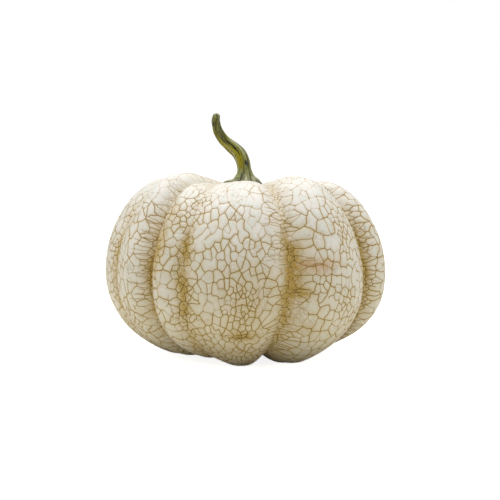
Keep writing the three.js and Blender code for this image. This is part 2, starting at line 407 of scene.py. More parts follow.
# Each crack becomes a wandering line of points.
startSpots, endSpots = spot(centre[links[:, 0]]), spot(centre[links[:, 1]])
lengths = np.linalg.norm(startSpots - endSpots, axis=1)
midSpots = (startSpots + endSpots) / 2
strengths = np.where(isMain, crazing["mainStrength"], crazing["lesserStrength"])
strengths = strengths + crazing["strengthWaves"] * strengthNoise(midSpots)
strengths = strengths + draw.normal(0, crazing["strengthSpread"], len(links))
strengths = strengths + crazing["stainStrength"] * marked("ochre", midSpots) - marked("calm", midSpots)
pale = crazing["crownPale"] * smooth((midSpots[:, 2] - crazing["crownFrom"]) / crazing["crownFade"])
strengths = np.clip(strengths * (1 - pale), crazing["leastStrength"], 1)
linePoints, lineEdges, lineStrength, endIndex = [], [], [], {}
for (one, two), length, strength, main in zip(links, lengths, strengths, isMain):
    reach = 1.0
    if draw.random() < crazing["healedMain" if main else "healed"]:
        reach = draw.uniform(0.0, crazing["healedReach"])
        if draw.random() < 0.5:
            one, two = two, one
        if reach * length < crazing["step"]:
            continue
    start, end = centre[one], centre[two]
    count = max(1, round(length * reach / crazing["step"]))
    s = np.linspace(0, reach, count + 1)
    bends = draw.normal(0, 1, 3) * (1, 0.6, 0.4) * crazing["wander"]
    swerve = sum(bends[n] * np.sin(np.pi * (n + 1) * s / reach) for n in range(3))
    across = np.array([start[1] - end[1], end[0] - start[0]])
    ids = []
    for n, p in enumerate(start + (end - start) * s[:, None] + across * swerve[:, None]):
        key = one if n == 0 else two if n == count and reach == 1 else None
        if key is not None and key in endIndex:
            number = endIndex[key]
            lineStrength[number] = max(lineStrength[number], strength)
        else:
            number = len(linePoints)
            linePoints.append(p)
            lineStrength.append(strength * (0.3 if n == count and reach < 1 else 1))
            if key is not None:
                endIndex[key] = number
        ids.append(number)
    lineEdges.extend(zip(ids[:-1], ids[1:]))
lineStrength, lineEdges = np.array(lineStrength), np.array(lineEdges)
lineChart = toChart(*fromPattern(np.array(linePoints)))

# Rows of nearly level cracks on the flanks beside some furrows, and single ones in the stains.
# First and last are where the rows begin; runs is how far round they go, in lobes.
crackRows = [
    {"first": (1.965, 0.385), "last": (1.985, 0.500), "rows": 13, "runs": -0.27, "strength": 0.55},
    {"first": (9.985, 0.425), "last": (9.985, 0.580), "rows": 15, "runs": -0.42, "strength": 0.55},
    {"first": (3.030, 0.400), "last": (3.040, 0.500), "rows": 9, "runs": 0.28, "strength": 0.5},
    {"first": (2.035, 0.555), "last": (2.035, 0.561), "rows": 2, "runs": 0.14, "strength": 1.0},
    {"first": (1.490, 0.641), "last": (1.500, 0.651), "rows": 3, "runs": 0.16, "strength": 1.0},
    {"first": (2.100, 0.494), "last": (2.120, 0.503), "rows": 2, "runs": 0.24, "strength": 0.6},
    {"first": (6.970, 0.400), "last": (6.970, 0.540), "rows": 14, "runs": -0.3, "strength": 0.5},
    {"first": (5.030, 0.430), "last": (5.030, 0.520), "rows": 9, "runs": 0.24, "strength": 0.5},
]
rowPoints, rowEdges, rowStrength = [], [], []
for rows in crackRows:
    for n in range(rows["rows"]):
        w, t = np.array(rows["first"]) + (np.array(rows["last"]) - rows["first"]) * n / (rows["rows"] - 1)
        run = rows["runs"] * draw.uniform(0.45, 1.1)
        steps = np.linspace(0, 1, max(4, round(abs(run) * crazing["rowSteps"])))
        rowW = w + draw.normal(0, 0.006) + run * steps
        rowT = t + draw.normal(0, 0.0012) + draw.normal(0, 0.0022) * steps**2
        rowT = rowT + draw.normal(0, 0.0008, len(steps)) + draw.normal(0, 0.002) * np.sin(np.pi * steps)
        begin = len(linePoints) + len(rowStrength)
        rowPoints.extend(toChart(np.interp(rowW, tableW, tableV), rowT))
        rowEdges.extend((begin + m, begin + m + 1) for m in range(len(steps) - 1))
        fading = 1 - 0.55 * np.abs(2 * steps - 1) ** 3  # towards both ends
        rowStrength.extend(rows["strength"] * draw.uniform(0.7, 1.15) * fading)
lineChart = np.concatenate([lineChart, rowPoints])
lineEdges = np.concatenate([lineEdges, rowEdges])
lineStrength = np.concatenate([lineStrength, rowStrength])



def lipDistance(strength, places):  # from a crack's middle line, in the chart
    return crazing["halfWidth"] * (0.75 + 0.5 * strength) * chartScale(fromChart(places)[1])


# The groove's lips: a point on both sides of each step, and more round each end, bend and meeting.
ends = lineChart[lineEdges]
middle, way = ends.mean(1), ends[:, 1] - ends[:, 0]
way /= np.linalg.norm(way, axis=1)[:, None]
normal = np.stack([-way[:, 1], way[:, 0]], -1)
lipGap = lipDistance(lineStrength[lineEdges].mean(1), middle)
lips = [middle + normal * lipGap[:, None], middle - normal * lipGap[:, None]]
leaving = [[] for n in lineChart]
for (one, two), direction in zip(lineEdges, way):
    leaving[one].append(math.atan2(direction[1], direction[0]))
    leaving[two].append(math.atan2(-direction[1], -direction[0]))
pointGap = lipDistance(lineStrength, lineChart)
openBend, openMeeting = math.radians(crazing["openBend"]), math.radians(crazing["openMeeting"])
extra = []
for n, angles in enumerate(leaving):
    angles.sort()
    for m, angle in enumerate(angles):
        wide = (angles[(m + 1) % len(angles)] - angle) % (2 * math.pi) or 2 * math.pi
        if len(angles) == 1:
            turns = [math.pi * share for share in crazing["endTurns"]]
        elif wide > openBend or len(angles) > 2 and wide > openMeeting:
            turns = [wide / 2]
        else:
            continue
        for turn in turns:
            outward = np.array([math.cos(angle + turn), math.sin(angle + turn)])
            extra.append(lineChart[n] + pointGap[n] * outward)
lips = np.concatenate(lips + [np.array(extra)])
crackTree = Near(np.concatenate([ends[:, 0] * (1 - s) + ends[:, 1] * s for s in (0.0, 0.25, 0.5, 0.75)]))
lips = lips[crackTree.find(lips)[0] > crazing["halfWidth"] * 0.6]


def thinned(chartPoints, spacing):  # drops points that stand closer together than the spacing
    v, t = fromChart(chartPoints)
    places = skin(wOf(v), t)
    taken, kept = {}, []
    steps = [(dx, dy, dz) for dx in (-1, 0, 1) for dy in (-1, 0, 1) for dz in (-1, 0, 1)]
    for n, (p, cell) in enumerate(zip(places.tolist(), np.floor(places / spacing).astype(int).tolist())):
        for dx, dy, dz in steps:
            if any(
                (q[0] - p[0]) ** 2 + (q[1] - p[1]) ** 2 + (q[2] - p[2]) ** 2 < spacing**2
                for q in taken.get((cell[0] + dx, cell[1] + dy, cell[2] + dz), ())
            ):
                break
        else:
            taken.setdefault(tuple(cell), []).append(p)
            kept.append(n)
    return chartPoints[kept]


lips = thinned(lips, crazing["lipSpacing"])
print(f"crack points: {len(lineChart)}, lips: {len(lips)}")

# The fruit's faces: every crack and every lip of a groove is an edge or a point of the mesh.
fruitMesh = {
    "tries": 42000,  # random spots tried for the points between cracks
    "spacing": 2.7,  # millimetres between them on the open lobe
    "furrowSpacing": 1.5,
    "furrowReach": 7,
    "clear": 1.0,  # how far these keep from a crack
    "rimPoints": 90,
    "rounds": 3,  # of splitting the edges whose ends are beside a crack and whose middle is further off
    "besideCrack": 0.55,  # millimetres
    "bridged": 0.34,
    "grooveDepth": 0.2,
    "pillow": 0.07,  # how far an island's middle stands up
    "pillowFrom": 0.3,  # and between which distances from a crack it rises
    "pillowFull": 2.2,
    "weather": 0.3,  # low, wide unevenness of the grown fruit
    "weatherSize": 21,
}


def faceSize(v, t):
    near, depth = furrowNear(v)
    small = (1 - smooth(near / fruitMesh["furrowReach"])) * depth
    return fruitMesh["spacing"] + (fruitMesh["furrowSpacing"] - fruitMesh["spacing"]) * small


fill = spreadSeeds(faceSize, fruitMesh["tries"], chart["topEdge"] + 0.004, toChart)
fill = fill[crackTree.find(fill)[0] > fruitMesh["clear"]]
ring = np.arange(fruitMesh["rimPoints"]) / fruitMesh["rimPoints"]
rimChart = toChart(ring, np.full(len(ring), chart["topEdge"]))
planned = np.concatenate([lineChart, rimChart, [[0.0, 0.0]], lips, fill])
lineEnd, rimEnd = len(lineChart), len(lineChart) + len(ring)
rimEdges = [(lineEnd + n, lineEnd + (n + 1) % len(ring)) for n in range(len(ring))]

# An edge that leads across an island, from groove to groove, gets a point halfway, or it looks cracked.
between = planned[:0]
for split in range(fruitMesh["rounds"]):
    planned = np.concatenate([planned, between])
    flat, faces, sources = triangulate(planned, list(lineEdges) + rimEdges)
    kind = np.array([min(s) if len(s) else -1 for s in sources])
    onCrack = kind < lineEnd  # also the few points where two cracks cross
    gap, which = crackTree.find(flat)
    gap[onCrack] = 0
    bridges = np.sort(np.concatenate([faces[:, [0, 1]], faces[:, [1, 2]], faces[:, [2, 0]]]), axis=1)
    bridges = np.unique(bridges[gap[bridges].max(1) < fruitMesh["besideCrack"]], axis=0)
    between = flat[bridges].mean(1)
    between = between[crackTree.find(between)[0] > gap[bridges].mean(1) + fruitMesh["bridged"]]
    print(f"skin, round {split + 1}: {len(flat)} points, {len(between)} edges to split")
vFlat, tFlat = fromChart(flat)
tFlat = np.where(np.hypot(flat[:, 0], flat[:, 1]) < 1e-6, 1.0, tFlat)
points = skin(wOf(vFlat), tFlat)
strength = np.where(onCrack, 0.7, 0.0)
own = (kind >= 0) & onCrack
strength[own] = lineStrength[kind[own]]
edge, part = lineEdges[which % len(lineEdges)], which // len(lineEdges) / 4
beside = lineStrength[edge[:, 0]] * (1 - part) + lineStrength[edge[:, 1]] * part  # of the nearest crack

# How the skin is coloured, in places: ochre in the furrows, the marks, and each island's own tone.
dust = {
    "hazeReach": 0.95,  # millimetres from a crack within which its tan edge mostly fades
    "hazeCrown": 86,  # the haze grows fainter above this height
    "crownFade": 20,
    "furrowReach": 4.4,  # from a furrow's floor, for the ochre
    "spread": 1.2,  # how sharply both of these end
    "crownShare": 0.22,  # how much of the ochre there is on the crown, and how much less at the foot
    "footLess": 0.35,
    "patchSeed": 21,
    "patchSize": 17,
    "patchAmount": 0.4,
    "most": 1.3,
}
crown = smooth((points[:, 2] - dust["hazeCrown"]) / dust["crownFade"])
haze = np.exp(-((gap / dust["hazeReach"]) ** dust["spread"])) * beside * (1 - 0.5 * crown)
near, depth = furrowNear(vFlat)
reach = near * np.interp(tFlat, tableT, girthAt) / girthAt[waistRow]
wash = dust["crownShare"] + (1 - dust["crownShare"]) * smooth((tFlat - 0.36) / 0.14)
wash = wash * (1 - dust["footLess"] * smooth((tFlat - 0.62) / 0.08))
uneven = 1 + dust["patchAmount"] * patchy(dust["patchSeed"], dust["patchSize"])(points)
furrowStain = np.exp(-((reach / dust["furrowReach"]) ** dust["spread"])) * (0.72 + 0.4 * depth)
stain = np.clip(furrowStain * wash * uneven + marked("ochre", points), 0, dust["most"])
islandTone = draw.random(len(seeds))
tone = islandTone[Near(seedChart).find(flat)[1]]
tone[onCrack] = 0.5
blush = marked("blush", points)

# The rim is closed under the stem's root.
rimIds = [int(n) for n in np.flatnonzero((kind >= lineEnd) & (kind < rimEnd))]
rimIds.sort(key=lambda n: math.atan2(flat[n, 1], flat[n, 0]))
points = np.concatenate([points, [skin(0.5, 0.0)]])
cap = [(rimIds[n], rimIds[(n + 1) % len(rimIds)], len(points) - 1) for n in range(len(rimIds))]
faces = np.concatenate([faces, np.array(cap)])
vFlat, tFlat = np.append(vFlat, 0), np.append(tFlat, 0)
a, b, c = (points[faces[:, n]] for n in range(3))
inward = (np.cross(b - a, c - a) * (a - [0, 0, fruitForm["equator"]])).sum(1) < 0
faces[inward] = faces[inward][:, ::-1]

cadLow, cadHigh = (np.array(corner) * 1000 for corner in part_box("fruit"))
low, high = points.min(0), points.max(0)
shift = (cadLow + cadHigh) / 2 - (low + high) / 2  # the form's own axis, seen from the row's origin
shift[2] = 0
print("form less frame in mm:", np.round((high - low) - (cadHigh - cadLow), 2), "shift:", np.round(shift, 2))


def placed(name, data):  # a new object in the scene
    piece = bpy.data.objects.new(name, data)
    bpy.context.scene.collection.objects.link(piece)
    return piece


def makeMesh(name, points, faces, edges=()):  # millimetres in, metres out
    mesh = bpy.data.meshes.new(name)
    mesh.from_pydata((np.asarray(points) + shift) / 1000, edges, [tuple(map(int, f)) for f in faces])
    mesh.shade_smooth()
    return placed(name, mesh)


def putAttribute(piece, name, values):
    values = np.asarray(values, np.float32)
    attribute = piece.data.attributes.new(name, "FLOAT" if values.ndim == 1 else "FLOAT_VECTOR", "POINT")
    attribute.data.foreach_set("value" if values.ndim == 1 else "vector", values.ravel())


fruit = makeMesh("crazedFruit", points, faces)
for name, values in {
        "strength": strength, "beside": beside, "haze": haze, "gap": gap, "stain": stain, "tone": tone,
        "blush": blush}.items():
    putAttribute(fruit, name, np.append(values, 0))


# The skin's own map: its front half above its back half, unrolled to lengths along the skin.
def unroll(mesh, margin=0.015):
    corners = np.zeros((len(mesh.loops), 2))
    order = np.zeros(len(mesh.loops), int)
    mesh.loops.foreach_get("vertex_index", order)
    order = order.reshape(-1, 3)
    spokes = np.exp(2j * np.pi * vFlat[order])
    weight = np.sin(np.pi * np.clip(tFlat[order], 0, 1)) + 1e-6
    middle = (np.angle((spokes * weight).sum(1)) / (2 * np.pi)) % 1
    beside = vFlat[order] - middle[:, None]
    beside = beside - np.round(beside)
    beside[(tFlat[order] > 0.9995) | (tFlat[order] < 0.001)] = 0
    start = furrowV[-1] + 0.02  # the halves part where neither is seen from the front
    turned = (middle - start) % 1
    upper = turned < 0.5
    u = (turned - np.where(upper, 0, 0.5))[:, None] * 2 + beside * 2
    down = np.interp(tFlat[order], tableT, downLengths / downLengths[-1])
    level = np.where(upper, 0.75, 0.25)[:, None]  # the middle of its half of the map
    v = level + (0.25 - down * 0.5) * (1 - 2 * margin)
    corners[:, 0] = (margin + u * (1 - 2 * margin)).ravel()
    corners[:, 1] = v.ravel()
    mesh.uv_layers.new(name="OFBake").data.foreach_set("uv", np.clip(corners, 0, 1).ravel())


unroll(fruit.data)


def addNode(tree, kind, feeds=(), **settings):  # a node with its settings; feeds are values or links
    node = tree.nodes.new(kind)
    for name, value in settings.items():
        setattr(node, name, value)
    for key, value in dict(feeds).items():
        if isinstance(value, bpy.types.Node):
            value = value.outputs[0]
        if isinstance(value, bpy.types.NodeSocket):
            tree.links.new(value, node.inputs[key])
        else:
            node.inputs[key].default_value = value
    return node


def colour(code):  # an sRGB hex value as the linear colour that the shaders work in
    parts = [int(code[n:n + 2], 16) / 255 for n in (0, 2, 4)]
    return (*(p / 12.92 if p <= 0.04045 else ((p + 0.055) / 1.055) ** 2.4 for p in parts), 1)


def newShapeTree(name, inputs):  # a geometry tree with named inputs: name, socket type, value
    tree = bpy.data.node_groups.new(name, "GeometryNodeTree")
    tree.interface.new_socket("Geometry", in_out="INPUT", socket_type="NodeSocketGeometry")
    tree.interface.new_socket("Geometry", in_out="OUTPUT", socket_type="NodeSocketGeometry")
    for label, kind, value in inputs:
        socket = tree.interface.new_socket(label, in_out="INPUT", socket_type=kind)
        if kind != "NodeSocketMaterial":
            socket.default_value = value
    return tree


def grown(piece, tree, material, **values):  # runs the tree and keeps its result as a plain mesh
    modifier = piece.modifiers.new(tree.name, "NODES")
    modifier.node_group = tree
    sockets = {item.name: item.identifier for item in tree.interface.items_tree if item.in_out == "INPUT"}
    modifier[sockets["Material"]] = material
    for label, value in values.items():
        modifier[sockets[label]] = value
    mesh = bpy.data.meshes.new_from_object(piece.evaluated_get(bpy.context.evaluated_depsgraph_get()))
    piece.modifiers.remove(modifier)
    name = piece.name
    bpy.data.objects.remove(piece)
    mesh.name = name
    return placed(name, mesh)


def newMaterial(name):
    material = bpy.data.materials.new(name)
    material.use_nodes = True
    return material, material.node_tree, material.node_tree.nodes["Principled BSDF"]


# Glazed rind, crazed: a smooth ivory glaze that has cracked over a tan ground. The islands are
# satin and nearly white, the cracks are matt ochre lines, and dust has settled in the furrows.
rindLook = {
    "island": "F5F0E8",
    "islandCool": "EAECE3",
    "footCreamAndShade": "D8CFAE",
    "ochre": "C19F4B",
    "hazeTan": "D0B878",
    "line": "9D7D24",
    "lineDark": "74570E",
    "flush": "CF9A6C",
    "thinLine": 0.17,  # half the width in millimetres at which a faint crack is drawn
    "boldLine": 0.38,
    "hairSpacing": 2.7,  # between the hairline cracks inside the islands
    "hairWidth": 0.11,
    "warpSize": 4.5,  # the hairlines' wander
    "patchSize": 11,
    "toneSize": 42,
    "fineSize": 3.2,  # unevenness of the glaze
    "speckSize": 1.0,
    "creamAndShadeFrom": 0.115,  # the foot's cream tone and painted shade, from this height in metres down
    "creamAndShadeFull": 0.03,
    "IOR": 1.48,
}


def crazedGlaze():
    material, tree, shader = newMaterial("crazedIvoryGlaze")
    place = addNode(tree, "ShaderNodeTexCoord").outputs["Object"]
    spots = {
        name: addNode(tree, "ShaderNodeAttribute", attribute_name=name).outputs["Fac"]
        for name in ("beside", "haze", "gap", "stain", "tone", "blush")}

    # Each island has its own tone, and the whole turns creamier and darker towards the foot: partly a
    # creamier tone, partly painted shade for the light from above falling off lower down.
    wide = addNode(
        tree, "ShaderNodeTexNoise", {"Vector": place, "Scale": 1000 / rindLook["toneSize"], "Detail": 3.0})
    fine = addNode(
        tree, "ShaderNodeTexNoise", {"Vector": place, "Scale": 1000 / rindLook["fineSize"], "Detail": 4.0})
    inIsland = addNode(
        tree, "ShaderNodeMapRange", {0: spots["gap"], 1: 0.5, 2: 2.0, 3: 0.3, 4: 1.5},
        interpolation_type="SMOOTHSTEP")
    cool = addNode(
        tree, "ShaderNodeMath", {0: spots["tone"], 1: inIsland}, operation="MULTIPLY", use_clamp=True)
    skinColour = addNode(
        tree, "ShaderNodeMix", {0: cool, 6: colour(rindLook["island"]), 7: colour(rindLook["islandCool"])},
        data_type="RGBA").outputs[2]
    height = addNode(tree, "ShaderNodeSeparateXYZ", {0: place}).outputs["Z"]
    unevenHeight = addNode(
        tree, "ShaderNodeMath", {0: wide.outputs["Fac"], 1: 0.03, 2: height}, operation="MULTIPLY_ADD")
    # Painted shade: the foot is mixed towards a darker cream, standing in for the light from above falling
    # off lower down; part of it is a creamier tone.
    low = addNode(
        tree, "ShaderNodeMapRange",
        {0: unevenHeight, 1: rindLook["creamAndShadeFrom"], 2: rindLook["creamAndShadeFull"], 3: 0.0, 4: 0.75},
        interpolation_type="SMOOTHSTEP")
    skinColour = addNode(
        tree, "ShaderNodeMix", {0: low, 6: skinColour, 7: colour(rindLook["footCreamAndShade"])},
        data_type="RGBA").outputs[2]

    # Hairlines in patches: the edges of a small warped Voronoi pattern.
    warp = addNode(
        tree, "ShaderNodeTexNoise", {"Vector": place, "Scale": 1000 / rindLook["warpSize"], "Detail": 2.0})
    warpShift = addNode(
        tree, "ShaderNodeVectorMath", {0: warp.outputs["Color"], 1: (0.0032, 0.0032, 0.0032), 2: place},
        operation="MULTIPLY_ADD")
    hair = addNode(
        tree, "ShaderNodeTexVoronoi", {"Vector": warpShift, "Scale": 1000 / rindLook["hairSpacing"]},
        feature="DISTANCE_TO_EDGE")
    hairLine = addNode(
        tree, "ShaderNodeMapRange", {0: hair, 1: rindLook["hairWidth"], 2: 0.02, 3: 0.0, 4: 1.0},
        interpolation_type="SMOOTHSTEP")
    patches = addNode(
        tree, "ShaderNodeTexNoise", {"Vector": place, "Scale": 1000 / rindLook["patchSize"], "Detail": 2.0})
    patchAmount = addNode(
        tree, "ShaderNodeMath", {0: spots["stain"], 1: 0.35, 2: patches.outputs["Fac"]},
        operation="MULTIPLY_ADD")
    where = addNode(
        tree, "ShaderNodeMapRange", {0: patchAmount, 1: 0.5, 2: 0.75, 3: 0.0, 4: 0.4},
        interpolation_type="SMOOTHSTEP")
    hairs = addNode(tree, "ShaderNodeMath", {0: hairLine, 1: where}, operation="MULTIPLY")

    # Ochre settles unevenly: a wash, then dark specks where it is thickest.
    speckNoise = addNode(
        tree, "ShaderNodeTexNoise", {"Vector": place, "Scale": 1000 / rindLook["speckSize"], "Detail": 2.0})
    mottle = addNode(
        tree, "ShaderNodeMapRange", {0: fine.outputs["Fac"], 1: 0.3, 2: 0.7, 3: 0.55, 4: 1.25})
    wash = addNode(
        tree, "ShaderNodeMath", {0: spots["stain"], 1: mottle}, operation="MULTIPLY", use_clamp=True)
    speckEdge = addNode(
        tree, "ShaderNodeMapRange", {0: spots["stain"], 1: 0.1, 2: 1.2, 3: 0.74, 4: 0.54})
    speckRise = addNode(
        tree, "ShaderNodeMath", {0: speckNoise.outputs["Fac"], 1: speckEdge}, operation="SUBTRACT")
    specks = addNode(tree, "ShaderNodeMapRange", {0: speckRise, 1: 0.0, 2: 0.14, 3: 0.0, 4: 0.85})
    hazeAmount = addNode(
        tree, "ShaderNodeMath", {0: spots["haze"], 1: 0.85}, operation="MULTIPLY", use_clamp=True)

    # A crack's line is drawn by the distance from it, wider and darker for a stronger crack.
    lineWidth = addNode(
        tree, "ShaderNodeMapRange",
        {0: spots["beside"], 1: 0.1, 2: 0.9, 3: rindLook["thinLine"], 4: rindLook["boldLine"]})
    fromLine = addNode(tree, "ShaderNodeMath", {0: spots["gap"], 1: lineWidth}, operation="DIVIDE")
    drawn = addNode(
        tree, "ShaderNodeMapRange", {0: fromLine, 1: 1.0, 2: 0.35, 3: 0.0, 4: 1.0},
        interpolation_type="SMOOTHSTEP")
    lineAmount = addNode(
        tree, "ShaderNodeMapRange", {0: spots["beside"], 1: 0.08, 2: 0.7, 3: 0.2, 4: 0.94})
    cracked = addNode(tree, "ShaderNodeMath", {0: drawn, 1: lineAmount}, operation="MULTIPLY")
    lineColour = addNode(
        tree, "ShaderNodeMix",
        {0: wash, 6: colour(rindLook["line"]), 7: colour(rindLook["lineDark"])}, data_type="RGBA").outputs[2]
    flushAmount = addNode(
        tree, "ShaderNodeMath", {0: spots["blush"], 1: mottle}, operation="MULTIPLY", use_clamp=True)
    layers = (
        (wash, colour(rindLook["ochre"])), (hazeAmount, colour(rindLook["hazeTan"])),
        (flushAmount, colour(rindLook["flush"])), (hairs, colour(rindLook["line"])),
        (specks, colour(rindLook["lineDark"])), (cracked, lineColour))
    for amount, tint in layers:
        skinColour = addNode(
            tree, "ShaderNodeMix", {0: amount, 6: skinColour, 7: tint}, data_type="RGBA").outputs[2]
    tree.links.new(skinColour, shader.inputs["Base Color"])

    rough = addNode(
        tree, "ShaderNodeMath", {0: fine.outputs["Fac"], 1: 0.16, 2: 0.36}, operation="MULTIPLY_ADD")
    dusty = addNode(tree, "ShaderNodeMath", {0: wash, 1: 0.25, 2: rough}, operation="MULTIPLY_ADD")
    matt = addNode(tree, "ShaderNodeMix", {0: cracked, 2: dusty, 3: 0.8}, data_type="FLOAT").outputs[0]
    tree.links.new(matt, shader.inputs["Roughness"])
    shader.inputs["IOR"].default_value = rindLook["IOR"]
    grain = addNode(
        tree, "ShaderNodeMath", {0: hairs, 1: -0.6, 2: fine.outputs["Fac"]}, operation="MULTIPLY_ADD")
    bump = addNode(tree, "ShaderNodeBump", {"Height": grain, "Strength": 0.35, "Distance": 0.00012})
    tree.links.new(bump.outputs["Normal"], shader.inputs["Normal"])
    return material


# The grooves and the low swelling of the islands are real shape.
def carvedSkin():
    tree = newShapeTree("carvedSkin", (
        ("Groove Depth", "NodeSocketFloat", 0.0), ("Pillow", "NodeSocketFloat", 0.0),
        ("Pillow From", "NodeSocketFloat", 0.0), ("Pillow Full", "NodeSocketFloat", 1.0),
        ("Weather", "NodeSocketFloat", 0.0), ("Weather Size", "NodeSocketFloat", 0.02),
        ("Material", "NodeSocketMaterial", None)))
    given = addNode(tree, "NodeGroupInput").outputs
    strengthHere = addNode(tree, "GeometryNodeInputNamedAttribute", {0: "strength"}, data_type="FLOAT")
    gapHere = addNode(tree, "GeometryNodeInputNamedAttribute", {0: "gap"}, data_type="FLOAT")
    place = addNode(tree, "GeometryNodeInputPosition")
    depth = addNode(
        tree, "ShaderNodeMath", {0: strengthHere, 1: given["Groove Depth"]}, operation="MULTIPLY")
    dome = addNode(
        tree, "ShaderNodeMapRange",
        {0: gapHere, 1: given["Pillow From"], 2: given["Pillow Full"], 3: 0.0, 4: 1.0},
        interpolation_type="SMOOTHSTEP")
    raised = addNode(tree, "ShaderNodeMath", {0: dome, 1: given["Pillow"]}, operation="MULTIPLY")
    perMetre = addNode(tree, "ShaderNodeMath", {0: 1.0, 1: given["Weather Size"]}, operation="DIVIDE")
    wave = addNode(tree, "ShaderNodeTexNoise", {"Vector": place, "Scale": perMetre, "Detail": 1.5})
    centred = addNode(tree, "ShaderNodeMath", {0: wave.outputs["Fac"], 1: 0.5}, operation="SUBTRACT")
    uneven = addNode(
        tree, "ShaderNodeMath", {0: centred, 1: given["Weather"], 2: raised}, operation="MULTIPLY_ADD")
    height = addNode(tree, "ShaderNodeMath", {0: uneven, 1: depth}, operation="SUBTRACT")
    outward = addNode(tree, "GeometryNodeInputNormal")
    move = addNode(tree, "ShaderNodeVectorMath", {0: outward, "Scale": height}, operation="SCALE")
    moved = addNode(tree, "ShaderNodeVectorMath", {0: place, 1: move}, operation="ADD")
    lowest = (-9, -9, 0)  # holds the feet on the ground and lets the rest be
    aboveGround = addNode(tree, "ShaderNodeVectorMath", {0: moved, 1: lowest}, operation="MAXIMUM")
    shaped = addNode(
        tree, "GeometryNodeSetPosition", {"Geometry": given["Geometry"], "Position": aboveGround})
    real = addNode(tree, "GeometryNodeRealizeInstances", {0: shaped})
    finished = addNode(tree, "GeometryNodeSetMaterial", {0: real, "Material": given["Material"]})
    addNode(tree, "NodeGroupOutput", {0: finished})
    return tree


fruit = grown(fruit, carvedSkin(), crazedGlaze(), **{
    "Groove Depth": fruitMesh["grooveDepth"] / 1000, "Pillow": fruitMesh["pillow"] / 1000,
    "Pillow From": fruitMesh["pillowFrom"], "Pillow Full": fruitMesh["pillowFull"],
    "Weather": fruitMesh["weather"] / 1000 * 2, "Weather Size": fruitMesh["weatherSize"] / 1000})
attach(fruit, "root")
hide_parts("fruit")
print(f"fruit: {len(fruit.data.polygons)} faces")

# The stem: a five-ridged stalk that flares into toes on the crown and bends twice on its way up.
stemForm = {
    "stations": [  # its middle, mean radius and ridge depth, from the root to the tip
        (-1.4, 0, 99.5, 12.6, 0.26), (-1.4, 0, 104.5, 12.6, 0.26), (-1.4, 0, 108, 11.2, 0.25),
        (-1.2, 0, 110.5, 8.4, 0.22), (-1.3, 0.1, 113, 5.9, 0.17), (-1.5, 0.3, 117, 4.35, 0.11),
        (-2.4, 1, 122.8, 4.15, 0.1), (-4.8, 2.2, 128, 4.05, 0.1), (-9.7, 2.8, 132.6, 3.75, 0.1),
        (-14.8, 2.2, 137.2, 3.2, 0.1), (-18.2, 0.6, 142.6, 2.9, 0.09), (-19.3, -1, 147.8, 2.6, 0.07),
        (-18.9, -1.8, 151, 2.4, 0.05)],
    "start": 0.06,  # share of the length below this is left out, deep under the crown
    "rows": 150,
    "tipRows": 9,
    "tipReach": 1.05,  # radii past the last station
    "sides": 110,
    "ridges": 5,
    "firstRidge": -90,
    "twist": 100,
    "fibreDepth": 0.11,
    "lumpDepth": 0.3,
}


def stemRail():
    rows = np.array(stemForm["stations"], float)
    ends = np.vstack([2 * rows[0] - rows[1], rows, 2 * rows[-1] - rows[-2]])
    ends[0, 3:], ends[-1, 3:] = rows[0, 3:], rows[-1, 3:]
    allT = np.linspace(0, 1, stemForm["rows"])
    before, after = (along(ends, np.clip(allT + step, 0, 1), padded=True)[:, :3] for step in (-1e-4, 1e-4))
    forward = (after - before) / np.linalg.norm(after - before, axis=1)[:, None]
    side, sides = np.array([1.0, 0, 0]), []
    for direction in forward:  # carried along the stem without turning about it
        side = side - direction * side.dot(direction)
        side /= np.linalg.norm(side)
        sides.append(side)
    middles, sides = along(ends, allT, padded=True), np.array(sides)
    # The tip closes in a round.
    closing = np.radians(np.linspace(0, 89, stemForm["tipRows"] + 1)[1:])
    beyond = np.repeat(middles[-1:], len(closing), axis=0)
    beyond[:, :3] += forward[-1] * (stemForm["tipReach"] * middles[-1, 3] * np.sin(closing))[:, None]
    beyond[:, 3] *= np.cos(closing)
    middles = np.vstack([middles, beyond])
    sides = np.vstack([sides, np.repeat(sides[-1:], len(closing), axis=0)])
    forward = np.vstack([forward, np.repeat(forward[-1:], len(closing), axis=0)])
    allT = np.append(allT, 1 + 0.02 * np.sin(closing))
    turn = np.radians(stemForm["firstRidge"] + stemForm["twist"] * np.minimum(allT, 1) ** 2)
    kept = allT >= stemForm["start"]
    middles, sides, forward, allT, turn = (x[kept] for x in (middles, sides, forward, allT, turn))
    edges = [(n, n + 1) for n in range(len(allT) - 1)]
    rail = makeMesh("driedStem", middles[:, :3], [], edges)
    for name, values in {
            "girth": middles[:, 3] / 1000, "ridge": middles[:, 4], "turn": turn, "share": allT,
            "side": sides, "forward": forward, "middle": (middles[:, :3] + shift) / 1000}.items():
        putAttribute(rail, name, values)
    return rail


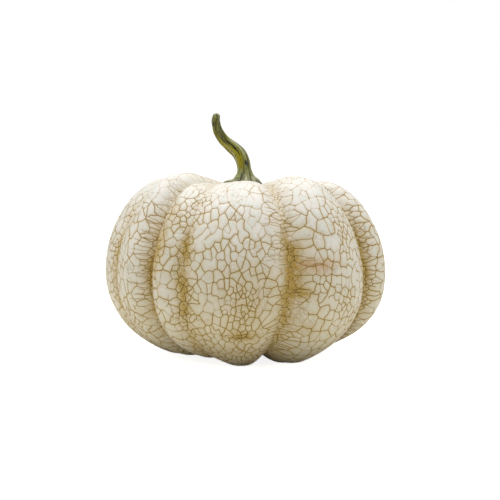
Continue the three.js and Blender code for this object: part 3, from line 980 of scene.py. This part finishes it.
def ribbedStalk():
    tree = newShapeTree("ribbedStalk", (
        ("Sides", "NodeSocketInt", 24), ("Ridges", "NodeSocketFloat", 5.0),
        ("Fibre Depth", "NodeSocketFloat", 0.0), ("Lump Depth", "NodeSocketFloat", 0.0),
        ("Material", "NodeSocketMaterial", None)))
    given = addNode(tree, "NodeGroupInput").outputs
    rail = addNode(tree, "GeometryNodeMeshToCurve", {0: given["Geometry"]})
    ring = addNode(tree, "GeometryNodeCurvePrimitiveCircle", {"Resolution": given["Sides"], "Radius": 0.001})
    index = addNode(tree, "GeometryNodeInputIndex")
    turnShare = addNode(tree, "ShaderNodeMath", {0: index, 1: given["Sides"]}, operation="DIVIDE")
    angle = addNode(tree, "ShaderNodeMath", {0: turnShare, 1: 2 * math.pi}, operation="MULTIPLY")
    ring = addNode(
        tree, "GeometryNodeStoreNamedAttribute",
        {"Geometry": ring.outputs["Curve"], "Name": "angle", "Value": angle},
        data_type="FLOAT", domain="POINT")
    tube = addNode(
        tree, "GeometryNodeCurveToMesh",
        {"Curve": rail, "Profile Curve": ring.outputs["Geometry"], "Fill Caps": True})
    known = {
        name: addNode(tree, "GeometryNodeInputNamedAttribute", {0: name}, data_type=kind).outputs[0]
        for name, kind in {
            "angle": "FLOAT", "girth": "FLOAT", "ridge": "FLOAT", "turn": "FLOAT", "share": "FLOAT",
            "side": "FLOAT_VECTOR", "forward": "FLOAT_VECTOR", "middle": "FLOAT_VECTOR"}.items()}

    # A ridge's wave round the stalk, a little sharper at its crest than in its groove.
    fromRidge = addNode(tree, "ShaderNodeMath", {0: known["angle"], 1: known["turn"]}, operation="SUBTRACT")
    waveAngle = addNode(tree, "ShaderNodeMath", {0: fromRidge, 1: given["Ridges"]}, operation="MULTIPLY")
    wave = addNode(tree, "ShaderNodeMath", {0: waveAngle}, operation="COSINE")
    square = addNode(tree, "ShaderNodeMath", {0: wave, 1: wave}, operation="MULTIPLY")
    sharp = addNode(tree, "ShaderNodeMath", {0: square, 1: 0.25, 2: wave}, operation="MULTIPLY_ADD")
    swollen = addNode(
        tree, "ShaderNodeMath", {0: sharp, 1: known["ridge"], 2: 1.0}, operation="MULTIPLY_ADD")
    radius = addNode(tree, "ShaderNodeMath", {0: swollen, 1: known["girth"]}, operation="MULTIPLY")

    # Fibres run along it: noise that changes fast round the stalk and slowly up it.
    cosine = addNode(tree, "ShaderNodeMath", {0: fromRidge}, operation="COSINE")
    sine = addNode(tree, "ShaderNodeMath", {0: fromRidge}, operation="SINE")
    fibrePlace = addNode(
        tree, "ShaderNodeCombineXYZ", {"X": cosine, "Y": sine, "Z": known["share"]}).outputs[0]
    fibreNoise = addNode(tree, "ShaderNodeTexNoise", {"Vector": fibrePlace, "Scale": 7.0, "Detail": 3.0})
    fibre = addNode(
        tree, "ShaderNodeMath", {0: fibreNoise.outputs["Fac"], 1: 0.5}, operation="SUBTRACT")
    lumpNoise = addNode(
        tree, "ShaderNodeTexNoise", {"Vector": known["middle"], "Scale": 180.0, "Detail": 2.0})
    lump = addNode(tree, "ShaderNodeMath", {0: lumpNoise.outputs["Fac"], 1: 0.5}, operation="SUBTRACT")
    thin = addNode(tree, "ShaderNodeMapRange", {0: known["girth"], 1: 0.0, 2: 0.0025, 3: 0.0, 4: 1.0})
    radius = addNode(
        tree, "ShaderNodeMath", {0: fibre, 1: given["Fibre Depth"], 2: radius}, operation="MULTIPLY_ADD")
    lumpy = addNode(tree, "ShaderNodeMath", {0: lump, 1: given["Lump Depth"]}, operation="MULTIPLY")
    radius = addNode(tree, "ShaderNodeMath", {0: lumpy, 1: thin, 2: radius}, operation="MULTIPLY_ADD")
    radius = addNode(tree, "ShaderNodeMath", {0: radius, 1: 0.00002}, operation="MAXIMUM")

    other = addNode(
        tree, "ShaderNodeVectorMath", {0: known["forward"], 1: known["side"]}, operation="CROSS_PRODUCT")
    cosAngle = addNode(tree, "ShaderNodeMath", {0: known["angle"]}, operation="COSINE")
    sinAngle = addNode(tree, "ShaderNodeMath", {0: known["angle"]}, operation="SINE")
    outA = addNode(tree, "ShaderNodeVectorMath", {0: known["side"], "Scale": cosAngle}, operation="SCALE")
    outB = addNode(tree, "ShaderNodeVectorMath", {0: other, "Scale": sinAngle}, operation="SCALE")
    out = addNode(tree, "ShaderNodeVectorMath", {0: outA, 1: outB}, operation="ADD")
    reach = addNode(tree, "ShaderNodeVectorMath", {0: out, "Scale": radius}, operation="SCALE")
    spot = addNode(tree, "ShaderNodeVectorMath", {0: known["middle"], 1: reach}, operation="ADD")
    shaped = addNode(tree, "GeometryNodeSetPosition", {"Geometry": tube, "Position": spot})
    shaped = addNode(
        tree, "GeometryNodeStoreNamedAttribute", {"Geometry": shaped, "Name": "crest", "Value": wave},
        data_type="FLOAT", domain="POINT")
    shaped = addNode(
        tree, "GeometryNodeStoreNamedAttribute",
        {"Geometry": shaped, "Name": "fibre", "Value": fibrePlace}, data_type="FLOAT_VECTOR", domain="POINT")
    smoothed = addNode(tree, "GeometryNodeSetShadeSmooth", {0: shaped})
    real = addNode(tree, "GeometryNodeRealizeInstances", {0: smoothed})
    finished = addNode(tree, "GeometryNodeSetMaterial", {0: real, "Material": given["Material"]})
    addNode(tree, "NodeGroupOutput", {0: finished})
    return tree


# Dried pumpkin stalk, cut green and varnished: woody ribs with a satin gloss. The ribs are yellow-olive to
# olive and grey-green at the root, with painted highlight in pale grey-green on their crests, on a few
# patches and at the tip; the grooves between them are drawn nearly black.
stalkLook = {
    "olive": "7E7D19",
    "yellow": "A09506",
    "highlightGrey": "B1B57C",
    "dark": "161302",
    "rootGrey": "A9AB84",
    "tipHighlightOlive": "989A5C",
    "upper": "66660F",
    "fibres": 6.0,  # strands round the stalk, as the noise counts them
    "speckSize": 1.3,  # millimetres
    "IOR": 1.42,
}


def driedStalk():
    material, tree, shader = newMaterial("driedGreenStalk")
    crest = addNode(tree, "ShaderNodeAttribute", attribute_name="crest").outputs["Fac"]
    share = addNode(tree, "ShaderNodeAttribute", attribute_name="share").outputs["Fac"]
    fibrePlace = addNode(tree, "ShaderNodeAttribute", attribute_name="fibre").outputs["Vector"]
    place = addNode(tree, "ShaderNodeTexCoord").outputs["Object"]
    strand = addNode(
        tree, "ShaderNodeTexNoise",
        {"Vector": fibrePlace, "Scale": stalkLook["fibres"], "Detail": 4.0, "Roughness": 0.6})
    speck = addNode(
        tree, "ShaderNodeTexNoise",
        {"Vector": place, "Scale": 1000 / stalkLook["speckSize"], "Detail": 1.5})

    # The patches fray along the fibres. The pale ones are painted highlight, grey-green sheen where the
    # light from above catches the stalk.
    patches = {}
    for kind, low, high, most in (
            ("yellow", 1.2, 1.6, 1.0), ("pale", 1.25, 1.7, 0.85), ("black", 1.62, 1.95, 0.92)):
        here = addNode(tree, "ShaderNodeAttribute", attribute_name=kind).outputs["Fac"]
        frayed = addNode(
            tree, "ShaderNodeMath", {0: strand.outputs["Fac"], 1: 2.0, 2: here}, operation="MULTIPLY_ADD")
        patches[kind] = addNode(
            tree, "ShaderNodeMapRange", {0: frayed, 1: low, 2: high, 3: 0.0, 4: most},
            interpolation_type="SMOOTHSTEP")
    skinColour = addNode(
        tree, "ShaderNodeMix",
        {0: patches["yellow"], 6: colour(stalkLook["olive"]), 7: colour(stalkLook["yellow"])},
        data_type="RGBA").outputs[2]
    # Painted highlight: the ribs' crests are mixed towards pale grey-green, as where the satin gloss catches
    # the light.
    crestHighlightAmount = addNode(
        tree, "ShaderNodeMapRange", {0: crest, 1: 0.2, 2: 1.0, 3: 0.0, 4: 0.75})
    crestHighlight = addNode(
        tree, "ShaderNodeMath", {0: crestHighlightAmount, 1: strand.outputs["Fac"]}, operation="MULTIPLY")
    atRoot = addNode(
        tree, "ShaderNodeMapRange", {0: share, 1: 0.5, 2: 0.27, 3: 0.0, 4: 0.75},
        interpolation_type="SMOOTHSTEP")
    # Painted highlight: the rounded tip is mixed towards a pale olive, as where light shines on its end.
    tipHighlight = addNode(
        tree, "ShaderNodeMapRange", {0: share, 1: 0.97, 2: 1.01, 3: 0.0, 4: 0.7},
        interpolation_type="SMOOTHSTEP")
    groove = addNode(
        tree, "ShaderNodeMath", {0: strand.outputs["Fac"], 1: 1.3, 2: crest}, operation="MULTIPLY_ADD")
    grooveDark = addNode(
        tree, "ShaderNodeMapRange", {0: groove, 1: 0.1, 2: -0.45, 3: 0.0, 4: 0.92},
        interpolation_type="SMOOTHSTEP")
    strandDark = addNode(
        tree, "ShaderNodeMapRange", {0: strand.outputs["Fac"], 1: 0.5, 2: 0.38, 3: 0.0, 4: 0.75})
    speckDark = addNode(
        tree, "ShaderNodeMapRange", {0: speck.outputs["Fac"], 1: 0.6, 2: 0.7, 3: 0.0, 4: 0.8})
    upper = addNode(
        tree, "ShaderNodeMapRange", {0: share, 1: 0.7, 2: 0.84, 3: 0.0, 4: 0.8},
        interpolation_type="SMOOTHSTEP")
    upperMottled = addNode(
        tree, "ShaderNodeMath", {0: upper, 1: strand.outputs["Fac"]}, operation="MULTIPLY")
    lesser = addNode(
        tree, "ShaderNodeMath", {0: patches["yellow"], 1: -0.8, 2: 1.0}, operation="MULTIPLY_ADD")
    strandDark = addNode(tree, "ShaderNodeMath", {0: strandDark, 1: lesser}, operation="MULTIPLY")
    grooveDark = addNode(tree, "ShaderNodeMath", {0: grooveDark, 1: lesser}, operation="MULTIPLY")
    for amount, tint in (
            (crestHighlight, "highlightGrey"), (upperMottled, "upper"), (atRoot, "rootGrey"), (patches["pale"], "highlightGrey"),
            (tipHighlight, "tipHighlightOlive"), (strandDark, "dark"), (grooveDark, "dark"), (patches["black"], "dark"),
            (speckDark, "dark")):
        skinColour = addNode(
            tree, "ShaderNodeMix", {0: amount, 6: skinColour, 7: colour(stalkLook[tint])},
            data_type="RGBA").outputs[2]
    tree.links.new(skinColour, shader.inputs["Base Color"])
    rough = addNode(
        tree, "ShaderNodeMath", {0: strand.outputs["Fac"], 1: 0.35, 2: 0.14}, operation="MULTIPLY_ADD")
    tree.links.new(rough.outputs[0], shader.inputs["Roughness"])
    shader.inputs["IOR"].default_value = stalkLook["IOR"]
    bump = addNode(
        tree, "ShaderNodeBump", {"Height": strand.outputs["Fac"], "Strength": 0.6, "Distance": 0.0003})
    tree.links.new(bump.outputs["Normal"], shader.inputs["Normal"])
    return material


stem = grown(stemRail(), ribbedStalk(), driedStalk(), **{
    "Sides": stemForm["sides"], "Ridges": float(stemForm["ridges"]),
    "Fibre Depth": stemForm["fibreDepth"] / 1000, "Lump Depth": stemForm["lumpDepth"] / 1000})

# Patches of the stalk: share of its length, degrees round it from its right side, and half sizes.
stalkPatches = [
    {"kind": "yellow", "at": (0.57, -128), "half": (0.13, 36)},
    {"kind": "yellow", "at": (0.70, -138), "half": (0.09, 26)},
    {"kind": "yellow", "at": (0.46, -108), "half": (0.06, 16)},
    {"kind": "yellow", "at": (0.60, 95), "half": (0.2, 28)},
    # painted highlight: the pale patches stand for sheen where the light from above catches the stalk
    {"kind": "pale", "at": (0.66, -32), "half": (0.09, 30)},
    {"kind": "pale", "at": (0.59, -48), "half": (0.05, 18)},
    {"kind": "pale", "at": (0.39, -134), "half": (0.06, 30)},
    {"kind": "pale", "at": (0.75, 150), "half": (0.12, 25)},
    {"kind": "black", "at": (0.70, -84), "half": (0.03, 14)},
    {"kind": "black", "at": (0.63, -90), "half": (0.025, 16)},
    {"kind": "black", "at": (0.78, -86), "half": (0.12, 5)},
    {"kind": "black", "at": (0.48, -66), "half": (0.03, 16)},
    {"kind": "black", "at": (0.47, -44), "half": (0.02, 14)},
    {"kind": "black", "at": (0.22, -158), "half": (0.03, 26)},
    {"kind": "black", "at": (0.22, -24), "half": (0.03, 22)},
    {"kind": "black", "at": (0.91, -142), "half": (0.035, 14)},
    {"kind": "black", "at": (0.86, -48), "half": (0.03, 12)},
    {"kind": "black", "at": (0.55, 60), "half": (0.05, 14)},
]


def patchStalk(stem):
    count = len(stem.data.vertices)
    share, fibre = np.zeros(count), np.zeros((count, 3))
    stem.data.attributes["share"].data.foreach_get("value", share)
    stem.data.attributes["fibre"].data.foreach_get("vector", fibre.ravel())
    angle = np.degrees(np.arctan2(fibre[:, 1], fibre[:, 0]))
    angle += stemForm["firstRidge"] + stemForm["twist"] * np.minimum(share, 1) ** 2
    for kind in ("yellow", "pale", "black"):
        total = np.zeros(count)
        for patch in stalkPatches:
            if patch["kind"] == kind:
                lengthwise = (share - patch["at"][0]) / patch["half"][0]
                across = ((angle - patch["at"][1] + 180) % 360 - 180) / patch["half"][1]
                total += 1.1 * np.exp(-((lengthwise**2 + across**2) ** 1.1))
        putAttribute(stem, kind, total)


patchStalk(stem)
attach(stem, "root")
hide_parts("stem")
print(f"stem: {len(stem.data.polygons)} faces")

# The blossom scar: a corky button in the hollow underneath, where the flower dropped off.
scarForm = {
    "radius": 6.2, "stands": 1.3, "sunk": 0.8, "rings": 22, "sides": 90, "rays": 5, "seed": 5,
    "corkSize": 2.4, "from": 0.85}  # the share down the fruit's profile past which its hollow is read


def blossomScar():
    rings, sides = scarForm["rings"], scarForm["sides"]
    r = np.linspace(0, 1, rings + 1)[1:, None]
    turn = np.linspace(0, 2 * np.pi, sides, endpoint=False)[None]
    edge = scarForm["radius"] * (1 + 0.07 * np.cos(scarForm["rays"] * turn) + 0.03 * np.cos(11 * turn + 1))
    x, y = r * edge * np.sin(turn), -r * edge * np.cos(turn)
    rays = np.abs(np.cos(scarForm["rays"] * turn / 2)) ** 14
    cork = patchy(scarForm["seed"], scarForm["corkSize"])(np.stack([x, y, x * 0], -1))
    stands = scarForm["stands"] * (1 - r**3) * (0.8 + 0.2 * np.cos(9 * r)) + 0.12 * cork * (1 - r)
    stands = stands - 0.6 * rays * np.clip(1 - r, 0, 1) ** 0.6 * (1 - np.exp(-8 * r))
    below = tableSkin[tableT > scarForm["from"]][::-1]
    hollow, hollowRadius = below[..., 2].mean(1), np.hypot(below[..., 0], below[..., 1]).mean(1)
    floorZ = np.interp(np.hypot(x, y), hollowRadius, hollow)
    under = np.stack([x, y, floorZ - stands], -1).reshape(-1, 3)
    top = np.stack([x, y, floorZ + scarForm["sunk"] + r * 0], -1).reshape(-1, 3)
    middleUnder = [0, 0, hollow[0] - scarForm["stands"] * 0.9]
    points = np.concatenate([under, [middleUnder], top, [[0, 0, hollow[0] + scarForm["sunk"]]]])
    count = rings * sides + 1
    faces = []
    for base, flip in ((0, False), (count, True)):
        for j in range(sides):
            k = (j + 1) % sides
            face = [(base + j, base + k, base + count - 1)]
            face += [(base + i * sides + j, base + (i + 1) * sides + j, base + (i + 1) * sides + k,
                      base + i * sides + k) for i in range(rings - 1)]
            faces += [f[::-1] if flip else f for f in face]
    last = (rings - 1) * sides
    for j in range(sides):
        k = (j + 1) % sides
        faces.append((last + j, count + last + j, count + last + k, last + k))
    scar = makeMesh("blossomScar", points, faces)
    putAttribute(scar, "middle", np.tile(np.append((1 - r + 0 * turn).ravel(), 1), 2))
    return scar


# Corky scar tissue: dry and matt, fawn at its edge and darker brown in its rays and middle.
scarLook = {"fawn": "B59A6B", "brown": "6A4C28", "grain": 1.1, "roughness": 0.85}


def corkyTissue():
    material, tree, shader = newMaterial("corkyScarTissue")
    place = addNode(tree, "ShaderNodeTexCoord").outputs["Object"]
    middle = addNode(tree, "ShaderNodeAttribute", attribute_name="middle").outputs["Fac"]
    grain = addNode(
        tree, "ShaderNodeTexNoise", {"Vector": place, "Scale": 1000 / scarLook["grain"], "Detail": 5.0})
    browned = addNode(
        tree, "ShaderNodeMath", {0: grain.outputs["Fac"], 1: 1.6, 2: middle}, operation="MULTIPLY_ADD")
    amount = addNode(tree, "ShaderNodeMapRange", {0: browned, 1: 0.75, 2: 1.8, 3: 0.0, 4: 1.0})
    tint = addNode(
        tree, "ShaderNodeMix", {0: amount, 6: colour(scarLook["fawn"]), 7: colour(scarLook["brown"])},
        data_type="RGBA").outputs[2]
    tree.links.new(tint, shader.inputs["Base Color"])
    shader.inputs["Roughness"].default_value = scarLook["roughness"]
    bump = addNode(
        tree, "ShaderNodeBump", {"Height": grain.outputs["Fac"], "Strength": 0.5, "Distance": 0.0004})
    tree.links.new(bump.outputs["Normal"], shader.inputs["Normal"])
    return material


scar = blossomScar()
scar.data.materials.append(corkyTissue())
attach(scar, "root")
print(f"blossom scar: {len(scar.data.polygons)} faces")

# A white sweep with soft light from above and both sides, and little from the front.
studio = {
    "floorHalf": 3,  # metres
    "floorWhite": "FFFFFF",
    "floorGlow": 0.86,
    "surround": 0.19,
    "mirrored": 0.5,  # the same surround as the gloss sees it
    "lamps": {  # place and size in metres, power in watts
        "overhead": {"place": (0.0, 0.1, 1.0), "size": (1.3, 1.0), "power": 11.4},
        "left": {"place": (-1.0, -0.1, 0.45), "size": (0.9, 0.8), "power": 1.8},
        "right": {"place": (1.0, -0.05, 0.4), "size": (0.9, 0.8), "power": 1.5},
        "front": {"place": (-0.2, -0.85, 1.0), "size": (0.9, 0.9), "power": 1.3},
    },
}
view = {  # fitted to the photograph
    "distance": 1.1,
    "elevation": 7,
    "target": (0, 0, 0.057),
    "widthAcross": 0.3205,  # how wide it sees at the fruit
    "pixels": 500,
    "spot": (245, 264),  # where the target stands among them
    "sensor": 36,
}

half = studio["floorHalf"]
floorMesh = bpy.data.meshes.new("floor")
floorMesh.from_pydata(
    [(-half, -half, 0), (half, -half, 0), (half, half, 0), (-half, half, 0)], [], [(0, 1, 2, 3)])
floor = placed("floor", floorMesh)
paper, paperTree, paperShader = newMaterial("whitePaperSweep")
paperShader.inputs["Base Color"].default_value = colour(studio["floorWhite"])
paperShader.inputs["Roughness"].default_value = 0.9
paperShader.inputs["Specular IOR Level"].default_value = 0.1
seen = addNode(paperTree, "ShaderNodeLightPath").outputs["Is Camera Ray"]
glow = addNode(paperTree, "ShaderNodeMath", {0: seen, 1: studio["floorGlow"]}, operation="MULTIPLY")
paperShader.inputs["Emission Color"].default_value = (1, 1, 1, 1)
paperTree.links.new(glow.outputs[0], paperShader.inputs["Emission Strength"])
floorMesh.materials.append(paper)

world = bpy.data.worlds.new("studio")
world.use_nodes = True
backdrop = world.node_tree.nodes["Background"]
backdrop.inputs["Color"].default_value = (1, 1, 1, 1)
rays = addNode(world.node_tree, "ShaderNodeLightPath").outputs
lit = addNode(
    world.node_tree, "ShaderNodeMapRange",
    {0: rays["Is Glossy Ray"], 1: 0.0, 2: 1.0, 3: studio["surround"], 4: studio["mirrored"]})
level = addNode(
    world.node_tree, "ShaderNodeMapRange", {0: rays["Is Camera Ray"], 1: 0.0, 2: 1.0, 3: lit, 4: 1.0})
world.node_tree.links.new(level.outputs[0], backdrop.inputs["Strength"])
bpy.context.scene.world = world
target = Vector(view["target"])
for name, setting in studio["lamps"].items():
    lamp = bpy.data.lights.new(name, "AREA")
    lamp.shape = "RECTANGLE"
    lamp.size, lamp.size_y = setting["size"]
    lamp.energy = setting["power"]
    bulb = placed(name, lamp)
    bulb.location = setting["place"]
    bulb.rotation_euler = (Vector(setting["place"]) - target).to_track_quat("Z", "Y").to_euler()

elevation = math.radians(view["elevation"])
back = Vector((0, -math.cos(elevation), math.sin(elevation)))
upward = Vector((0, math.sin(elevation), math.cos(elevation)))
pixel = view["widthAcross"] / view["pixels"]
aside, lower = view["pixels"] / 2 - view["spot"][0], view["spot"][1] - view["pixels"] / 2
eye = bpy.data.cameras.new("camera")
camera = placed("camera", eye)
aim = target + Vector((aside, 0, 0)) * pixel + upward * lower * pixel
camera.location = aim + back * view["distance"]
camera.rotation_euler = (math.pi / 2 - elevation, 0, 0)
eye.sensor_width = view["sensor"]
eye.lens = view["sensor"] * view["distance"] / view["widthAcross"]
eye.clip_start = 0.01
bpy.context.scene.camera = camera
bpy.context.scene.view_settings.view_transform = "Standard"
print(f"studio: floor, {len(studio['lamps'])} lamps and camera")
